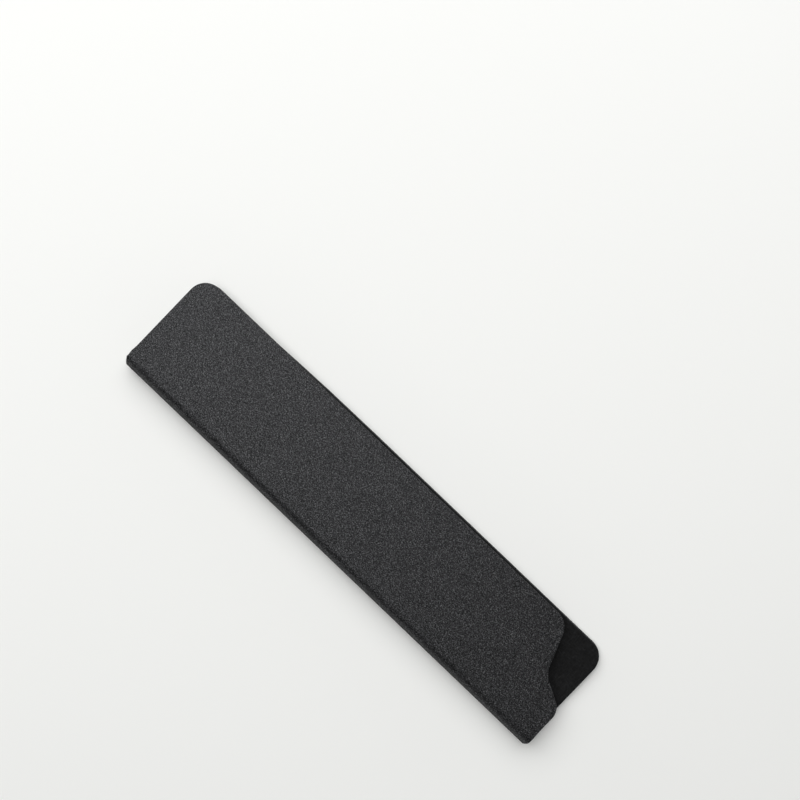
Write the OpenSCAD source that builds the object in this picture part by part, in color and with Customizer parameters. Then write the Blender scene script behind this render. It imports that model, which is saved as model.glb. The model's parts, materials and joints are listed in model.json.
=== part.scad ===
// Guard that a kitchen knife blade slides into: one sheet folded in half along its length
// and lined with felt. It lies on its back panel, fold towards -Y and open mouth towards +Y.
// The front panel swings open on the fold and springs back on to the blade.

/* [Panels] */
// Length of the guard, from its tip end to its handle end
guard_l = 132; // [100:1:260]
// Reach of the back panel, from the outside of the fold to its mouth edge
back_w = 29; // [24:0.5:60]
// How far the front panel stops short of the back panel at the mouth
mouth_step = 0.5; // [0:0.1:3]
// Radius of the panels' corners at the mouth
mouth_corner_r = 4.7; // [1:0.1:8]

/* [Layers] */
// Thickness of the outer sheet
sheet_t = 1.2; // [0.8:0.1:2]
// Thickness of the felt lining
felt_t = 0.8; // [0.4:0.1:1.4]
// Colour of the outer sheet
sheet_color = [0.23, 0.23, 0.24];
// Colour of the felt lining
felt_color = [0.1, 0.1, 0.11];

/* [Fold] */
// Inside radius of the felt where it turns round the fold
slot_r = 0.6; // [0.4:0.1:2]
// Gap left between the two felt faces at the mouth
mouth_gap = 0.3; // [0.2:0.1:1]
// Flat strip on each side of the bend that belongs to the fold
fold_lip = 1; // [0.5:0.1:3]

/* [Notch] */
// Length of the notch along the guard, from the handle end to its valley
notch_l = 8.2; // [4:0.1:16]
// How much further along the guard the notch runs at the mouth than at its valley
notch_lean = 4.7; // [1:0.1:10]
// Reach of the tab that stays beside the notch, from the outside of the fold to its corner
tab_reach = 11.7; // [9:0.1:15]
// How much further from the fold the valley lies than the corner of the tab
notch_rise = 4.4; // [1:0.1:7]
// Radius of the notch's valley
valley_r = 5; // [1:0.2:8]
// Radius of the tab's corner
tab_corner_r = 3.6; // [1:0.2:6]

/* [Hidden] */
$fn = 96;

// Radius of the surface where felt and sheet meet in the fold
lined_r = slot_r + felt_t;
// Radius of the outside of the fold
fold_r = lined_r + sheet_t;
// The hinge line runs along X at this place, and the guard's underside lies at z = 0
hinge_y = fold_r - back_w / 2;
hinge_z = fold_r;
// Reach of each panel from the hinge line, and of the notch's corners
back_reach = back_w - fold_r;
front_reach = back_reach - mouth_step;
tab_s = tab_reach - fold_r;
valley_s = tab_s + notch_rise;
// Ends of the guard and of the notch along X
tip_x = -guard_l / 2;
handle_x = guard_l / 2;
valley_x = handle_x - notch_l;
notch_x = valley_x - notch_lean;
// Angle that the front panel leans towards the back panel, which closes the mouth to its gap
lean = atan(slot_r / front_reach) + asin((slot_r - mouth_gap) / norm([front_reach, slot_r]));
// Most of an edge that one rounded corner may take, and the straight steps that make its arc
corner_share = 0.45;
corner_steps = 16;

// Outlines of the panels, counter-clockwise from the fold, each corner as [x, reach, radius]
BACK_OUTLINE = [
    [tip_x, fold_lip, 0],
    [handle_x, fold_lip, 0],
    [handle_x, back_reach, mouth_corner_r],
    [tip_x, back_reach, mouth_corner_r]
];
FRONT_OUTLINE = [
    [tip_x, fold_lip, 0],
    [handle_x, fold_lip, 0],
    [handle_x, tab_s, tab_corner_r],
    [valley_x, valley_s, valley_r],
    [notch_x, front_reach, mouth_corner_r],
    [tip_x, front_reach, mouth_corner_r]
];

// Place of corner i of an outline, counted round from the last corner to the first
function corner(outline, i) =
    let (c = outline[(i + len(outline)) % len(outline)])
    [c.x, c.y];

function unit(v) = v / norm(v);

// Edges that leave corner i: one back to the corner before it, one on to the next
function edge_back(outline, i) = corner(outline, i - 1) - corner(outline, i);

function edge_on(outline, i) = corner(outline, i + 1) - corner(outline, i);

// Half of the angle between those two edges
function half_angle(outline, i) =
    acos(unit(edge_back(outline, i)) * unit(edge_on(outline, i))) / 2;

// Length of each edge that the rounding of corner i takes, which a short edge limits
function taken(outline, i) =
    min(outline[i][2] / tan(half_angle(outline, i)),
        corner_share * norm(edge_back(outline, i)),
        corner_share * norm(edge_on(outline, i)));

function rounding_r(outline, i) = taken(outline, i) * tan(half_angle(outline, i));

function rounding_centre(outline, i) =
    corner(outline, i)
    + unit(unit(edge_back(outline, i)) + unit(edge_on(outline, i)))
    * rounding_r(outline, i) / sin(half_angle(outline, i));

// Points of the outline at corner i: along its rounding, or the corner itself if it is sharp
function corner_points(outline, i) =
    outline[i][2] == 0 ? [corner(outline, i)] :
    let (
        centre = rounding_centre(outline, i),
        start = corner(outline, i) + unit(edge_back(outline, i)) * taken(outline, i) - centre,
        end = corner(outline, i) + unit(edge_on(outline, i)) * taken(outline, i) - centre
    )
    [for (k = [0 : corner_steps])
        centre + rounding_r(outline, i) * unit(start + (end - start) * k / corner_steps)];

// An outline with its corners rounded
module rounded(outline) {
    polygon([for (i = [0 : len(outline) - 1]) each corner_points(outline, i)]);
}

// One layer of the back panel, from its lower face upwards, with heights taken below the hinge line
module back_layer(depth, thickness) {
    translate([0, hinge_y, hinge_z - depth])
        linear_extrude(thickness)
            rounded(BACK_OUTLINE);
}

// One layer of the front panel, from its lower face upwards, with heights taken above the hinge line
module front_layer(height, thickness) {
    translate([0, hinge_y, hinge_z])
        rotate([-lean, 0, 0])
            translate([0, 0, height])
                linear_extrude(thickness)
                    rounded(FRONT_OUTLINE);
}

// Half of a filled hairpin: the round end, on the fold's side of the hinge line, and one leg
module half_hairpin(r, leg) {
    intersection() {
        circle(r);
        translate([-r, -r])
            square([r, 2 * r]);
    }
    square([leg, r]);
}

// Section of the fold, filled: a round end with a leg along each panel
module hairpin(r, leg) {
    rotate(-lean)
        half_hairpin(r, leg);
    mirror([0, 1])
        half_hairpin(r, leg);
}

// Section of one layer of the fold between two radii, open at the ends of its legs
module hairpin_wall(inner_r, outer_r) {
    difference() {
        hairpin(outer_r, fold_lip);
        hairpin(inner_r, 2 * fold_lip);
    }
}

// Everything on the front panel's side of the plane that halves the fold
module front_side(reach) {
    rotate(-lean / 2)
        translate([-reach, 0])
            square([2 * reach, reach]);
}

// A section of the fold, run along the whole guard
module along_fold() {
    translate([tip_x, hinge_y, hinge_z])
        rotate([90, 0, 90])
            linear_extrude(guard_l)
                children();
}

// Half of the outer sheet that the guard lies on
module back_panel() {
    color(sheet_color)
        back_layer(fold_r, sheet_t);
}

// Half of the sheet's bend, beside the back panel
module back_bend() {
    color(sheet_color)
        along_fold()
            difference() {
                hairpin_wall(lined_r, fold_r);
                front_side(fold_r + fold_lip);
            }
}

// Half of the sheet's bend, beside the front panel, which flexes when the guard opens
module front_bend() {
    color(sheet_color)
        along_fold()
            intersection() {
                hairpin_wall(lined_r, fold_r);
                front_side(fold_r + fold_lip);
            }
}

// Upper half of the outer sheet, with the notch at its handle end
module front_panel() {
    color(sheet_color)
        front_layer(lined_r, sheet_t);
}

// Felt on the inside of the back panel
module back_lining() {
    color(felt_color)
        back_layer(lined_r, felt_t);
}

// Felt that turns round the inside of the fold
module fold_lining() {
    color(felt_color)
        along_fold()
            hairpin_wall(slot_r, lined_r);
}

// Felt on the inside of the front panel
module front_lining() {
    color(felt_color)
        front_layer(slot_r, felt_t);
}

back_panel();
back_bend();
front_bend();
front_panel();
back_lining();
fold_lining();
front_lining();
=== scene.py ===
# %% [markdown]
# # A felt-lined guard for a knife blade
# The guard is one sheet of matte black plastic, folded in half along its length, with a felt
# lining glued inside. The CAD model gives every size and place, and the joint on which the
# front half flexes open. Blender adds the looks: a folded sheet with die-cut edges, a felt
# lining that turns round the fold, and their two finishes. All lengths are in metres, in the
# frame of the CAD model: +X runs from the tip end to the handle end, +Y from the fold to the
# open mouth, and +Z up.

# %% Load the frame
import json
import math
import bpy
from mathutils import Matrix, Vector


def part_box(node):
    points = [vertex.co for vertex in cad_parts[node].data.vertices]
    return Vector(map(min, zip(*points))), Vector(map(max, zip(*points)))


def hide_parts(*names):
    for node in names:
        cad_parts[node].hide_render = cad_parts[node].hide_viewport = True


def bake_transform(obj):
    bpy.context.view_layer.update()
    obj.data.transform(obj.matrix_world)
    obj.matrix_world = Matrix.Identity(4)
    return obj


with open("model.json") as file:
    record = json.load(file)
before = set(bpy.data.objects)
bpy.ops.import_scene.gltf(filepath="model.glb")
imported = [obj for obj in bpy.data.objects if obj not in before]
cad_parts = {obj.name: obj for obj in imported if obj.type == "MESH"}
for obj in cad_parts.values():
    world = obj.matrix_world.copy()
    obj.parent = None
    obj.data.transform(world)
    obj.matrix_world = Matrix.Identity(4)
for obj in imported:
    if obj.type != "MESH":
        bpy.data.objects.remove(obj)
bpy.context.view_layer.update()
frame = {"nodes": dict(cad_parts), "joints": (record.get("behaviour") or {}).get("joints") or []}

MM = 0.001

# %% [markdown]
# ## Sizes
# A modeller who dresses a CAD part doesn't type its sizes again: they are read from the
# frame, so that the new pieces keep fitting. The hinge line comes from the joint, and the
# thicknesses and reaches come from the boxes of the nodes. The lean of the front panel is the
# tilt of its largest face. Only the notch has no box of its own, so its few sizes are written
# out here as the CAD model has them. A reach is a distance from the hinge line along a panel.

# %% Read the sizes
hinge = Vector(frame["joints"][0]["pos_m"])
back_panel_low, back_panel_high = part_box("back_panel")
back_lining_low, back_lining_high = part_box("back_lining")
front_panel_low, front_panel_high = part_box("front_panel")
TIP_X, HANDLE_X = back_panel_low.x, back_panel_high.x
SHEET_T = back_panel_high.z - back_panel_low.z
FELT_T = back_lining_high.z - back_lining_low.z
FOLD_R = hinge.z - back_panel_low.z
LINED_R = FOLD_R - SHEET_T
LIP = back_panel_low.y - hinge.y
BACK_REACH = back_panel_high.y - hinge.y

top_face = max(frame["nodes"]["front_panel"].data.polygons,
               key=lambda face: face.area * (face.normal.z > 0))
LEAN = math.atan2(top_face.normal.y, top_face.normal.z)
# Directions along the front panel, towards its mouth, and out of its upper face
FRONT_WAY = Vector((0, math.cos(LEAN), -math.sin(LEAN)))
FRONT_UP = Vector((0, math.sin(LEAN), math.cos(LEAN)))
FRONT_REACH = (front_panel_high.y - hinge.y - FOLD_R * FRONT_UP.y) / FRONT_WAY.y

# Corners of the notch as x and reach, and the radii of the die-cut corners
NOTCH = [(53.1 * MM, FRONT_REACH), (57.8 * MM, 13.5 * MM), (HANDLE_X, 9.1 * MM)]
MOUTH_CORNER_R = 4.7 * MM
VALLEY_R = 5.0 * MM
TAB_CORNER_R = 3.6 * MM
print("sheet %.2f mm, felt %.2f mm, fold radius %.2f mm, lean %.2f degrees"
      % (SHEET_T / MM, FELT_T / MM, FOLD_R / MM, math.degrees(LEAN)))
print("reaches %.2f and %.2f mm" % (BACK_REACH / MM, FRONT_REACH / MM))

# %% [markdown]
# ## Picking by place
# An operator acts on all that is selected, and loading the CAD model leaves its nodes
# selected. So every piece starts with nothing selected, and corners, edges and faces are then
# picked by where they lie, as an eye would pick them. These helpers do that.

# %% Selection helpers
NEAR = 0.01 * MM


def start_clean():
    """Leaves edit mode and selects nothing."""
    if bpy.context.object and bpy.context.object.mode != "OBJECT":
        bpy.ops.object.mode_set(mode="OBJECT")
    bpy.ops.object.select_all(action="DESELECT")


def edit(obj):
    """Opens one piece in edit mode."""
    start_clean()
    obj.select_set(True)
    bpy.context.view_layer.objects.active = obj
    bpy.ops.object.mode_set(mode="EDIT")


def pick(obj, kind, test):
    """In edit mode, selects only the corners, edges or faces whose middle passes the test."""
    bpy.ops.mesh.select_mode(type=kind)
    bpy.ops.mesh.select_all(action="DESELECT")
    bpy.ops.object.mode_set(mode="OBJECT")
    mesh = obj.data
    found = 0
    for part in {"VERT": mesh.vertices, "EDGE": mesh.edges, "FACE": mesh.polygons}[kind]:
        corners = [mesh.vertices[i].co for i in part.vertices] if kind != "VERT" else [part.co]
        if test(sum(corners, Vector()) / len(corners)):
            part.select = True
            found += 1
    bpy.ops.object.mode_set(mode="EDIT")
    return found


def move_corner(obj, place, target):
    """In edit mode, moves the corner that lies at a place to another one."""
    found = pick(obj, "VERT", lambda p: (p - place).length < NEAR)
    assert found == 1, (found, place)
    bpy.ops.transform.translate(value=target - place)


def finish_with(obj, kind, **settings):
    """Adds a modifier with these settings and applies it."""
    start_clean()
    obj.select_set(True)
    bpy.context.view_layer.objects.active = obj
    modifier = obj.modifiers.new(kind.lower(), kind)
    for name, value in settings.items():
        setattr(modifier, name, value)
    bpy.ops.object.modifier_apply(modifier=modifier.name)

# %% [markdown]
# ## Folding a surface
# On the real guard a flat blank is heated along a line and folded round a bar. The same order
# works here: a plane is the back panel, its edge is extruded up to the start of the bend,
# that edge is spun round the hinge line, and the last edge is extruded out again as the front
# panel. Spin gives a truly round fold, where bending a flat mesh afterwards would only come
# close. The felt is folded in the same way at a smaller radius, so one function serves both.

# %% Fold a surface at a distance from the hinge line
BEND_STEPS = 28
# Strips beside the bend, from its end outwards, which later shape the ends of the fold
STRIPS = [LIP, LIP + 1.5 * MM]


def on_back(radius, x, reach):
    """A point of the back panel's skin at this distance below the hinge line."""
    return Vector((x, hinge.y + reach, hinge.z - radius))


def on_front(radius, x, reach):
    """A point of the front panel's skin at this distance from the hinge line."""
    return Vector((x, hinge.y, hinge.z)) + FRONT_UP * radius + FRONT_WAY * reach


def folded_surface(name, radius, inset):
    """A surface along the back panel, round the bend and along the front panel."""
    start_clean()
    bpy.ops.mesh.primitive_plane_add(size=1)
    obj = bpy.context.object
    obj.name = obj.data.name = name
    length = HANDLE_X - TIP_X - 2 * inset
    depth = BACK_REACH - inset - STRIPS[1]
    bpy.ops.object.mode_set(mode="EDIT")
    bpy.ops.transform.resize(value=(length, depth, 1))
    bpy.ops.transform.translate(value=on_back(radius, 0, STRIPS[1] + depth / 2))
    # The plane's edge beside the fold runs on flat by the strips, then round the hinge line
    pick(obj, "EDGE", lambda p: abs(p.y - hinge.y - STRIPS[1]) < NEAR)
    for step in (STRIPS[0] - STRIPS[1], -STRIPS[0]):
        bpy.ops.mesh.extrude_region_move(TRANSFORM_OT_translate={"value": (0, step, 0)})
    bpy.ops.mesh.spin(steps=BEND_STEPS, angle=math.pi + LEAN, center=hinge, axis=(1, 0, 0))
    # The last edge runs on along the front panel, by the strips and then to the mouth
    for step in (STRIPS[0], STRIPS[1] - STRIPS[0], FRONT_REACH - inset - STRIPS[1]):
        bpy.ops.mesh.extrude_region_move(TRANSFORM_OT_translate={"value": FRONT_WAY * step})
    bpy.ops.mesh.select_all(action="SELECT")
    bpy.ops.mesh.remove_doubles(threshold=NEAR)
    bpy.ops.object.mode_set(mode="OBJECT")
    print(name, "folded:", len(obj.data.polygons), "faces, size in mm",
          [round(side / MM, 2) for side in obj.dimensions])
    return obj

# %% [markdown]
# ## Cutting the outline
# A steel rule die cuts the real blank, which leaves rounded corners and a notch where the
# heel of a blade comes out. An edge with corners added by subdivide can be pulled to the
# notch's shape, and bevel on a single corner rounds it as the die does. A boolean cut would
# do it too, but it leaves a less even mesh.

# %% Notch and rounded corners
# Straight steps that make one rounded corner
CORNER_STEPS = 14


def pull_edge(obj, start, end, corners):
    """Divides the edge between two places and pulls its new corners to where they belong."""
    edit(obj)
    found = pick(obj, "EDGE", lambda p: (p - (start + end) / 2).length < NEAR)
    assert found == 1, (found, start, end)
    bpy.ops.mesh.subdivide(number_cuts=len(corners))
    for count, corner in enumerate(corners, 1):
        move_corner(obj, start.lerp(end, count / (len(corners) + 1)), corner)
    bpy.ops.object.mode_set(mode="OBJECT")


def round_corner(obj, place, corner_r):
    """Rounds one corner of the outline: bevel starts where the arc leaves the edges."""
    mesh = obj.data
    corner = min(mesh.vertices, key=lambda v: (v.co - place).length)
    ways = []
    for line in mesh.edges:
        if corner.index in line.vertices:
            other = sum(line.vertices) - corner.index
            ways.append(mesh.vertices[other].co - corner.co)
    assert len(ways) == 2, (place, len(ways))
    taken = corner_r / math.tan(ways[0].angle(ways[1]) / 2)
    edit(obj)
    pick(obj, "VERT", lambda p: (p - place).length < NEAR)
    bpy.ops.mesh.bevel(affect="VERTICES", offset_type="OFFSET", offset=taken,
                       segments=CORNER_STEPS, profile=0.5, clamp_overlap=False)
    bpy.ops.object.mode_set(mode="OBJECT")


# The back panel of the real guard isn't folded quite square: near the tip end its mouth edge
# hides behind the front panel's, and towards the handle it comes out from under it
BACK_MOUTH = [(-42 * MM, 0.52 * MM), (-34 * MM, 0.28 * MM), (-26 * MM, 0.1 * MM), (-12 * MM, 0)]


def cut_outline(obj, radius, inset):
    """Gives the folded surface its skewed back edge, its notch and its rounded corners."""
    tip, handle = TIP_X + inset, HANDLE_X - inset
    back, front = BACK_REACH - inset, FRONT_REACH - inset
    edge = [on_back(radius, x, back - hidden) for x, hidden in BACK_MOUTH]
    pull_edge(obj, on_back(radius, tip, back), on_back(radius, handle, back), edge)
    notch, valley, tab = [on_front(radius, x - inset, reach - inset) for x, reach in NOTCH]
    front_tip, front_handle = on_front(radius, tip, front), on_front(radius, handle, front)
    pull_edge(obj, front_tip, front_handle, [notch, valley])
    back_tip = on_back(radius, tip, back - BACK_MOUTH[0][1])
    edit(obj)
    move_corner(obj, on_back(radius, tip, back), back_tip)
    move_corner(obj, front_handle, tab)
    bpy.ops.object.mode_set(mode="OBJECT")
    for place, corner_r in ((back_tip, MOUTH_CORNER_R), (front_tip, MOUTH_CORNER_R),
                            (on_back(radius, handle, back), MOUTH_CORNER_R),
                            (notch, MOUTH_CORNER_R), (valley, VALLEY_R), (tab, TAB_CORNER_R)):
        round_corner(obj, place, corner_r)
    print(obj.name, "outline cut:", len(obj.data.vertices), "corners")

# %% [markdown]
# ## The ends of the fold
# Where a thick sheet is folded, its outside is stretched round the bend. So the bend's ends
# draw in a little, and the panels flare out beside them, which gives the guard the small
# ears at the corners of its fold. The section's corners at each end are moved along X by an
# amount that depends on how far they lie from the outside of the fold.

# %% Draw in the ends of the bend
# Distance from the outside of the fold, and how far the end is drawn in there, both in mm
TIP_DRAWN_IN = [(0, 0.8), (0.43, 0.68), (1.06, 0.3), (1.5, 0.12), (1.77, -0.1), (2.4, 0),
                (2.6, -0.02), (3.6, -0.16), (5.1, -0.05)]
HANDLE_DRAWN_IN = [(0, 0.44), (0.4, 0.28), (1.0, -0.04), (1.5, -0.09), (2.6, -0.1),
                   (3.6, -0.05), (5.1, 0)]


def read_table(table, distance):
    """Reads a table, with straight lines between its rows."""
    for (near, start), (far, end) in zip(table, table[1:]):
        if distance <= far:
            return start + (end - start) * (distance - near) / (far - near)
    return 0


def shape_ends(obj, radius, inset):
    """Moves the ends of the bend and of the strips beside it."""
    edit(obj)
    for end_x, way, table in ((TIP_X + inset, MM, TIP_DRAWN_IN),
                              (HANDLE_X - inset, -MM, HANDLE_DRAWN_IN)):
        places = [v.co.copy() for v in obj.data.vertices if abs(v.co.x - end_x) < NEAR
                  and v.co.y < hinge.y + STRIPS[1] + NEAR]
        for place in places:
            shift = read_table(table, (place.y - hinge.y + radius) / MM) * way
            move_corner(obj, place, place + Vector((shift, 0, 0)))
    bpy.ops.object.mode_set(mode="OBJECT")

# %% [markdown]
# ## Thickness and edges
# Solidify gives a surface its thickness. With an even offset the bend keeps the same wall
# all the way round, and offset -1 makes it grow to the inside only, away from the outer skin
# that was measured. It grows against the normals, so these must point outwards first. Bevel
# then breaks the cut edges, because an edge without any rounding never catches the light.

# %% Give the surfaces their thickness
# Rows of faces that round a cut edge, and the angle from which an edge counts as cut
EDGE_ROWS = 3
CUT_ANGLE = math.radians(60)


def point_outwards(obj):
    """Turns all faces so that the back panel faces down, which is outwards."""
    edit(obj)
    bpy.ops.mesh.select_all(action="SELECT")
    bpy.ops.mesh.normals_make_consistent(inside=False)
    bpy.ops.object.mode_set(mode="OBJECT")
    lowest = min(obj.data.polygons, key=lambda face: face.center.z)
    if lowest.normal.z > 0:
        edit(obj)
        bpy.ops.mesh.select_all(action="SELECT")
        bpy.ops.mesh.flip_normals()
        bpy.ops.object.mode_set(mode="OBJECT")


def thicken(obj, thickness, edge_r):
    """Adds the wall and the rounding of the cut edges."""
    point_outwards(obj)
    finish_with(obj, "SOLIDIFY", thickness=thickness, offset=-1, use_even_offset=True)
    bpy.ops.object.shade_smooth()
    finish_with(obj, "BEVEL", width=edge_r, segments=EDGE_ROWS, limit_method="ANGLE",
                angle_limit=CUT_ANGLE, harden_normals=True)
    print(obj.name, "size in mm", [round(side / MM, 2) for side in obj.dimensions])

# %% [markdown]
# ## The sheet
# The blank of the sheet is folded, cut and thickened. It stands for four solids of the CAD
# model, which had to be cut beside the bend so that the front half could swing. The real
# sheet is one piece with a living hinge, so here it is one mesh.

# %% Make the sheet
SHEET_EDGE_R = 0.14 * MM
folded_sheet = folded_surface("folded_sheet", FOLD_R, 0)
cut_outline(folded_sheet, FOLD_R, 0)
shape_ends(folded_sheet, FOLD_R, 0)
thicken(folded_sheet, SHEET_T, SHEET_EDGE_R)


def flex_over_hinge(obj):
    """Bakes the piece's placement into its mesh."""
    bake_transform(obj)


flex_over_hinge(folded_sheet)
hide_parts("back_panel", "back_bend", "front_bend", "front_panel")

# %% [markdown]
# ## The felt
# The felt is glued to the whole inside of the blank before it is cut and folded, so it has
# the same outline. Cut felt springs back a little from the edge and its rim is rounder than
# the plastic's, so its outline is a touch smaller and its edges are rounded more.

# %% Make the felt lining
FELT_INSET = 0.12 * MM
FELT_EDGE_R = 0.22 * MM
felt_lining = folded_surface("felt_lining", LINED_R, FELT_INSET)
cut_outline(felt_lining, LINED_R, FELT_INSET)
shape_ends(felt_lining, LINED_R, FELT_INSET)
thicken(felt_lining, FELT_T, FELT_EDGE_R)
flex_over_hinge(felt_lining)
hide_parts("back_lining", "fold_lining", "front_lining")

# %% [markdown]
# ## Matte black plastic
# The sheet has a fine, even grain like fine leather, pressed in when it was rolled. Its
# colour is nearly black, and most of what the eye sees is soft light that its skin throws
# back. So the material is built from one noise that serves four times: as height for the
# bump; as colour, where around the plastic's own near-black the pits are painted darker as
# shade and the tops lighter as glints; as a change of roughness; and as painted shade in the
# skin's reflection, which is made weaker in the pits. A second, coarser noise keeps large
# areas from looking machine-made. Layer Weight makes the skin rougher where it is seen at a
# slant, which keeps the round fold from shining like a polished tube.

# %% Material of the sheet
def new_material(name):
    """A material with a Principled shader, and a function that adds a node to it."""
    material = bpy.data.materials.new(name)
    material.use_nodes = True
    nodes, links = material.node_tree.nodes, material.node_tree.links
    shader = nodes["Principled BSDF"]

    def add(kind, inputs=(), **settings):
        node = nodes.new(kind)
        for key, value in settings.items():
            setattr(node, key, value)
        for socket, value in dict(inputs).items():
            if isinstance(value, bpy.types.NodeSocket):
                links.new(value, node.inputs[socket])
            else:
                node.inputs[socket].default_value = value
        return node

    def into_shader(socket, value):
        if isinstance(value, bpy.types.NodeSocket):
            links.new(value, shader.inputs[socket])
        else:
            shader.inputs[socket].default_value = value

    return material, add, into_shader


def ramp(add, factor, stops):
    """A colour ramp through these positions and grey or coloured values."""
    node = add("ShaderNodeValToRGB", {"Fac": factor})
    elements = node.color_ramp.elements
    while len(elements) < len(stops):
        elements.new(0.5)
    for element, (position, colour) in zip(elements, stops):
        element.position = position
        element.color = (*colour, 1)
    return node.outputs["Color"]


def grey(value):
    """A grey with a breath of blue, as black plastic has under daylight."""
    return (value, value * 1.01, value * 1.05)


GRAIN_SCALE = 3800
GRAIN_HEIGHT = 0.13 * MM
WAVE_SCALE = 260
WAVE_HEIGHT = 0.1 * MM
# How much rougher the skin gets where it is seen edge-on
SLANT_ROUGHNESS = 0.9
plastic, add, into_shader = new_material("matte_black_plastic")
place = add("ShaderNodeTexCoord").outputs["Object"]
# Noise is a lattice of cells, and a flat panel that lies along them shows patches, so the
# lattice is turned to an odd angle
ODD_ANGLE = (0.65, 0.91, 0.32)
turned = add("ShaderNodeMapping", {"Vector": place, "Rotation": ODD_ANGLE})
place = turned.outputs["Vector"]
grain = add("ShaderNodeTexNoise", {"Vector": place, "Scale": GRAIN_SCALE, "Detail": 2.5,
                                   "Roughness": 0.55}).outputs["Fac"]
waves = add("ShaderNodeTexNoise", {"Vector": place, "Scale": WAVE_SCALE,
                                   "Detail": 2}).outputs["Fac"]
# Painted shade and painted glints: around the plastic's own near-black, the grain's pits are
# made darker and its tops lighter
pit_shade_and_top_glints = ramp(add, grain, [(0.36, grey(0.001)), (0.5, grey(0.004)), (0.6, grey(0.02)),
                         (0.7, grey(0.1))])
into_shader("Base Color", pit_shade_and_top_glints)
slant = add("ShaderNodeLayerWeight", {"Blend": 0.5}).outputs["Facing"]
steep = add("ShaderNodeMath", {0: slant, 1: 2}, operation="POWER").outputs["Value"]
level = add("ShaderNodeMapRange", {"Value": grain, "To Min": 0.28, "To Max": 0.38})
rough = add("ShaderNodeMath", {0: steep, 1: SLANT_ROUGHNESS, 2: level.outputs["Result"]},
            operation="MULTIPLY_ADD")
into_shader("Roughness", rough.outputs["Value"])
# Painted shade in the reflection: the skin mirrors less in the grain's pits than on its tops
pit_shaded_reflection = ramp(add, grain, [(0.36, grey(0.22)), (0.46, grey(0.54)), (0.56, grey(0.83)),
                           (0.7, grey(0.95))])
into_shader("Specular Tint", pit_shaded_reflection)
fine = add("ShaderNodeBump", {"Height": grain, "Strength": 1, "Distance": GRAIN_HEIGHT})
coarse = add("ShaderNodeBump", {"Height": waves, "Strength": 0.25, "Distance": WAVE_HEIGHT,
                                "Normal": fine.outputs["Normal"]})
into_shader("Normal", coarse.outputs["Normal"])
into_shader("Specular IOR Level", 0.6)
folded_sheet.data.materials.append(plastic)

# %% [markdown]
# ## Black felt
# Felt is a mat of fibres that run every way. Two noises, each stretched along its own
# direction by a Mapping node, cross each other like the fibres do. Sheen is the soft glow
# that the fibre ends give cloth when it is seen at a slant, and it is set on the shader.

# %% Material of the felt
FIBRE_SCALE = 900
FIBRE_HEIGHT = 0.15 * MM
felt, add, into_shader = new_material("black_felt")
place = add("ShaderNodeTexCoord").outputs["Object"]
fibres = []
for turn, stretch in ((35, (1, 5, 2)), (-50, (5, 1, 2))):
    turned = add("ShaderNodeMapping", {"Vector": place, "Scale": stretch,
                                       "Rotation": (0, 0, math.radians(turn))}).outputs["Vector"]
    fibres.append(add("ShaderNodeTexNoise", {"Vector": turned, "Scale": FIBRE_SCALE,
                                             "Detail": 3, "Distortion": 0.6}).outputs["Fac"])
mat = add("ShaderNodeMath", {0: fibres[0], 1: fibres[1]}, operation="MAXIMUM").outputs["Value"]
into_shader("Base Color", ramp(add, mat, [(0.4, grey(0.003)), (0.6, grey(0.009)),
                                          (0.8, grey(0.02))]))
into_shader("Normal", add("ShaderNodeBump", {"Height": mat, "Strength": 0.8,
                                             "Distance": FIBRE_HEIGHT}).outputs["Normal"])
into_shader("Roughness", 0.95)
into_shader("Specular IOR Level", 0.15)
into_shader("Sheen Weight", 0.08)
into_shader("Sheen Roughness", 0.5)
felt_lining.data.materials.append(felt)

# %% [markdown]
# ## Floor, light and camera
# The guard lies on a plain white floor under soft studio light. One large lamp to the side of
# the tip end gives most of the light: the plastic shows it as a slow change from the tip end
# to the handle end, and it draws the soft shadow beside the fold. The world adds pale walls
# near the horizon under a dim ceiling, and that dimness is what the round fold mirrors as a
# dark band. A floor under a near lamp would turn white on one side and dark on the other, so
# away from the guard the paper fades into an even tone that matches the walls.

# %% Floor, light and camera
WALL_LEVEL = 0.8
CEILING_LEVEL = 0.08
# Heights of a direction over the horizon between which the walls turn into the ceiling
WALL_TOP = 0.22
CEILING_START = 0.3
FLOOR_SIZE = 6
PAPER_COLOUR = (0.92, 0.925, 0.905)
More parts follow.
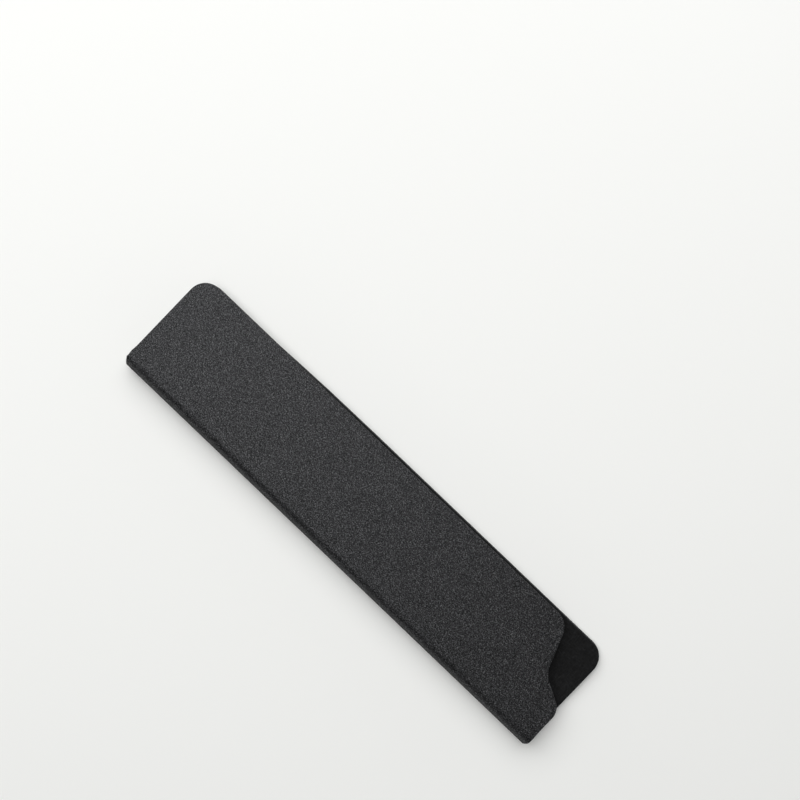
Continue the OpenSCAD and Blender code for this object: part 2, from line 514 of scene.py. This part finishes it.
# Distances from the guard's middle between which the floor fades
FADE_START = 0.14
FADE_END = 0.3
LAMP_AT = Vector((-0.98, 0.75, 0.9))
LAMP_SIZE = 2.2
LAMP_POWER = 36
start_clean()
bpy.ops.mesh.primitive_plane_add(size=FLOOR_SIZE)
floor = bpy.context.object
floor.name = "floor"
paper, add, into_shader = new_material("white_paper")
spot = add("ShaderNodeTexCoord").outputs["Object"]
away = add("ShaderNodeVectorMath", {0: spot}, operation="LENGTH").outputs["Value"]
fade = add("ShaderNodeMapRange", {"Value": away, "From Min": FADE_START, "From Max": FADE_END},
           interpolation_type="SMOOTHSTEP").outputs["Result"]
into_shader("Base Color", ramp(add, fade, [(0, PAPER_COLOUR), (1, (0, 0, 0))]))
into_shader("Emission Color", (1, 1, 1, 1))
glow = add("ShaderNodeMath", {0: fade, 1: WALL_LEVEL}, operation="MULTIPLY").outputs["Value"]
into_shader("Emission Strength", glow)
into_shader("Roughness", 0.9)
into_shader("Specular IOR Level", 0)
floor.data.materials.append(paper)

world = bpy.data.worlds.new("studio")
bpy.context.scene.world = world
world.use_nodes = True
nodes, links = world.node_tree.nodes, world.node_tree.links
# The height of a direction over the horizon runs from pale walls to a dimmer ceiling
direction = nodes.new("ShaderNodeTexCoord")
height = nodes.new("ShaderNodeSeparateXYZ")
walls = nodes.new("ShaderNodeMapRange")
walls.interpolation_type = "SMOOTHSTEP"
for socket, value in (("From Min", WALL_TOP), ("From Max", CEILING_START),
                      ("To Min", WALL_LEVEL), ("To Max", CEILING_LEVEL)):
    walls.inputs[socket].default_value = value
links.new(direction.outputs["Generated"], height.inputs["Vector"])
links.new(height.outputs["Z"], walls.inputs["Value"])
links.new(walls.outputs["Result"], nodes["Background"].inputs["Strength"])
nodes["Background"].inputs["Color"].default_value = (1, 1, 1, 1)

bpy.ops.object.light_add(type="AREA", location=LAMP_AT)
lamp = bpy.context.object
lamp.name = lamp.data.name = "soft_box"
lamp.data.shape = "SQUARE"
lamp.data.size = LAMP_SIZE
lamp.data.energy = LAMP_POWER

# The camera looks almost straight down, turned so that the guard lies along the diagonal
CAMERA_LENS = 53.46
CAMERA_AT = Vector((-8.4, 32.0, 285.3)) * MM
TURN, TILT_X, TILT_Y = math.radians(43.65), math.radians(0.61), math.radians(-1.56)
bpy.ops.object.camera_add(location=CAMERA_AT)
camera = bpy.context.object
to_camera = (Matrix.Rotation(TILT_Y, 3, "Y") @ Matrix.Rotation(TILT_X, 3, "X")
             @ Matrix.Rotation(-TURN, 3, "Z"))
camera.rotation_euler = to_camera.transposed().to_euler()
camera.data.lens = CAMERA_LENS
bpy.context.scene.camera = camera
bpy.context.scene.view_settings.view_transform = "Standard"
